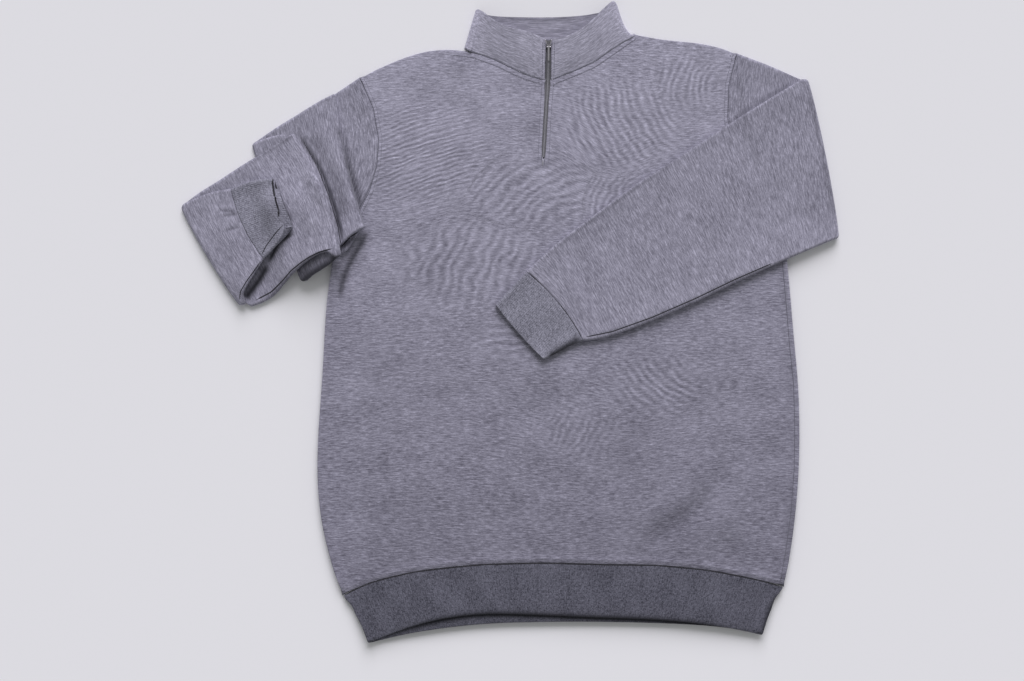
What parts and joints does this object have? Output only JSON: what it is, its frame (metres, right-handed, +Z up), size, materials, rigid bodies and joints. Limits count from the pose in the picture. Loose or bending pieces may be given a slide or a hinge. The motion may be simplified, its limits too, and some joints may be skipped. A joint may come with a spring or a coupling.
{
  "type": "quarter zip sweatshirt",
  "caption": "Long-sleeved heather fleece sweatshirt with a stand collar and a short zip, laid flat with its sleeves folded; the pull tab swings.",
  "frame": {"origin": "middle of the garment's plan box, on the surface it lies on", "axes": "+X towards the wearer's left, +Y towards the collar, +Z up off the surface; the garment lies on its back"},
  "size_m": [0.8152, 0.7954, 0.0355],
  "materials": {
    "fleece": "brushed heather fleece",
    "rib_hem": "dark rib knit",
    "rib_cuff": "fine rib knit",
    "zip_tape": "woven tape",
    "zip_coil": "satin coil chain",
    "zip_metal": "satin nickel"
  },
  "bodies": {
    "garment": {"back_panel": "fleece", "front_panel": "fleece", "collar": "fleece", "sleeve_right": "fleece", "sleeve_left": "fleece", "cuff_right": "rib_cuff", "cuff_left": "rib_cuff", "hem_band": "rib_hem", "zip_tape_right": "zip_tape", "zip_tape_left": "zip_tape", "zip_coil": "zip_coil", "zip_slider": "zip_metal"},
    "zip_pull": {"zip_pull": "zip_metal"}
  },
  "joints": [
    {"name": "pull_swing", "type": "hinge", "parent": "garment", "child": "zip_pull", "pos_m": [0.04924, 0.34321, 0.02223], "axis": [-1, 0, 0], "range_deg": [0, 165]}
  ]
}
